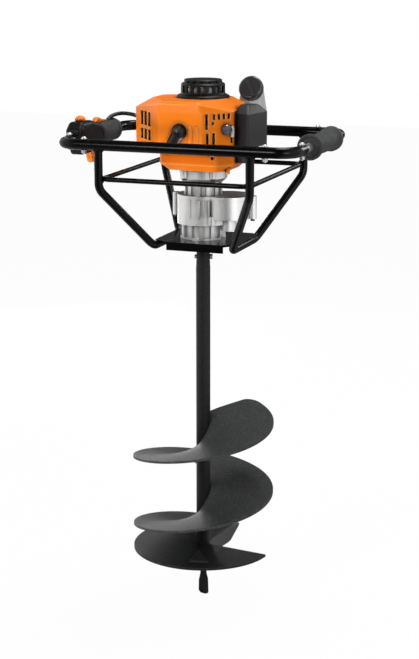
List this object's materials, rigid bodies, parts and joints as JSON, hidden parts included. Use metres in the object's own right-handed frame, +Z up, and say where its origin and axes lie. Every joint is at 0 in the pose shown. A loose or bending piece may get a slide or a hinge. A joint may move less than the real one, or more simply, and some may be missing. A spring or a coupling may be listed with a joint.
{
  "type": "earth auger",
  "caption": "Two-operator earth auger: engine and reduction gearbox in a tube carrying frame with hand bars, driving a screw bit with a flat pilot point.",
  "frame": {"origin": "the pilot point's lowest point on the drive axis", "axes": "+Z up along the drive axis, +X along the rails to the plain grip, +Y to the rear"},
  "size_m": [0.54, 0.382, 1.1178],
  "materials": {
    "frame_paint": "gloss black coat",
    "zinc_steel": "zinc plated",
    "dark_steel": "darkened steel",
    "grip_rubber": "matt rubber",
    "hose_rubber": "smooth rubber",
    "bulb_rubber": "smoky soft rubber",
    "black_plastic": "fine grain",
    "orange_plastic": "satin",
    "pale_plastic": "pale, slightly translucent",
    "cast_alloy": "die cast",
    "bit_paint": "dark grey powder coat"
  },
  "bodies": {
    "frame": {"rail_front": "frame_paint", "rail_rear": "frame_paint", "elbows_left": "frame_paint", "elbows_right": "frame_paint", "bar_left": "zinc_steel", "bar_right": "zinc_steel", "frame_bolts": "zinc_steel", "frame_nuts": "zinc_steel", "hoop_left": "frame_paint", "hoop_right": "frame_paint", "brace_ring": "frame_paint", "base_plate": "frame_paint", "grip_right": "grip_rubber", "grip_left": "grip_rubber", "control_housing": "black_plastic", "cable_hose": "hose_rubber", "pedestal": "cast_alloy", "gear_case": "cast_alloy", "case_cover": "cast_alloy", "clutch_bell": "cast_alloy", "case_screws": "dark_steel", "bell_screws": "dark_steel", "plate_screws": "dark_steel", "bearings": "zinc_steel", "crankcase": "cast_alloy", "cylinder": "cast_alloy", "spark_plug": "zinc_steel", "plug_boot": "hose_rubber", "muffler": "dark_steel", "carburettor": "cast_alloy", "shroud": "orange_plastic", "starter_cover": "black_plastic", "filter_box": "black_plastic", "fuel_tank": "pale_plastic"},
    "auger": {"spindle": "dark_steel", "output_wheel": "dark_steel", "bit_tube": "bit_paint", "flight": "bit_paint", "bottom_plate": "bit_paint", "cutter": "dark_steel", "centre_blade": "dark_steel", "pilot": "bit_paint", "cross_pin": "zinc_steel"},
    "layshaft": {"layshaft": "dark_steel"},
    "crank": {"crankshaft": "zinc_steel", "flywheel": "cast_alloy", "clutch_shoes": "dark_steel", "clutch_drum": "dark_steel"},
    "trigger": {"trigger": "orange_plastic"},
    "lockout": {"lockout": "orange_plastic"},
    "stop_button": {"stop_button": "orange_plastic"},
    "primer": {"primer": "bulb_rubber"},
    "choke": {"choke_lever": "pale_plastic"},
    "fuel_cap": {"fuel_cap": "black_plastic"},
    "starter_grip": {"starter_grip": "black_plastic"}
  },
  "joints": [
    {"name": "auger_spin", "type": "hinge", "parent": "frame", "child": "auger", "pos_m": [0, 0, 0.75], "axis": [0, 0, -1], "continuous": true},
    {"name": "layshaft_spin", "type": "hinge", "parent": "frame", "child": "layshaft", "pos_m": [0.054, 0, 0.85], "axis": [0, 0, -1], "continuous": true},
    {"name": "crank_spin", "type": "hinge", "parent": "frame", "child": "crank", "pos_m": [0, 0, 0.95], "axis": [0, 0, -1], "continuous": true},
    {"name": "trigger_pull", "type": "hinge", "parent": "frame", "child": "trigger", "pos_m": [-0.24, -0.04, 0.98], "axis": [1, 0, 0], "range_deg": [0, 8], "stiffness_Nm_per_rad": 0.6, "springref_deg": -11.46},
    {"name": "lockout_press", "type": "hinge", "parent": "frame", "child": "lockout", "pos_m": [-0.24, 0.047, 1.015], "axis": [1, 0, 0], "range_deg": [0, 6], "stiffness_Nm_per_rad": 0.5, "springref_deg": -11.46},
    {"name": "stop_press", "type": "slide", "parent": "frame", "child": "stop_button", "axis": [0, 0, -1], "range_m": [0, 0.003], "stiffness_N_per_m": 600, "springref_m": -0.002},
    {"name": "primer_press", "type": "slide", "parent": "frame", "child": "primer", "axis": [-0.8, 0.6, 0], "range_m": [0, 0.004], "stiffness_N_per_m": 500, "springref_m": -0.002},
    {"name": "choke_slide", "type": "slide", "parent": "frame", "child": "choke", "axis": [0, 0, -1], "range_m": [0, 0.01]},
    {"name": "cap_turn", "type": "hinge", "parent": "frame", "child": "fuel_cap", "pos_m": [0.079, 0.074, 1.092], "axis": [0, -0.9063, 0.4226], "range_deg": [0, 270]},
    {"name": "starter_pull", "type": "slide", "parent": "frame", "child": "starter_grip", "axis": [0, 1, 0], "range_m": [0, 0.6], "stiffness_N_per_m": 20, "springref_m": -0.4}
  ],
  "couplings": [
    {"joint": "layshaft_spin", "follows": "auger_spin", "ratio": -4.4},
    {"joint": "crank_spin", "follows": "auger_spin", "ratio": 22}
  ]
}
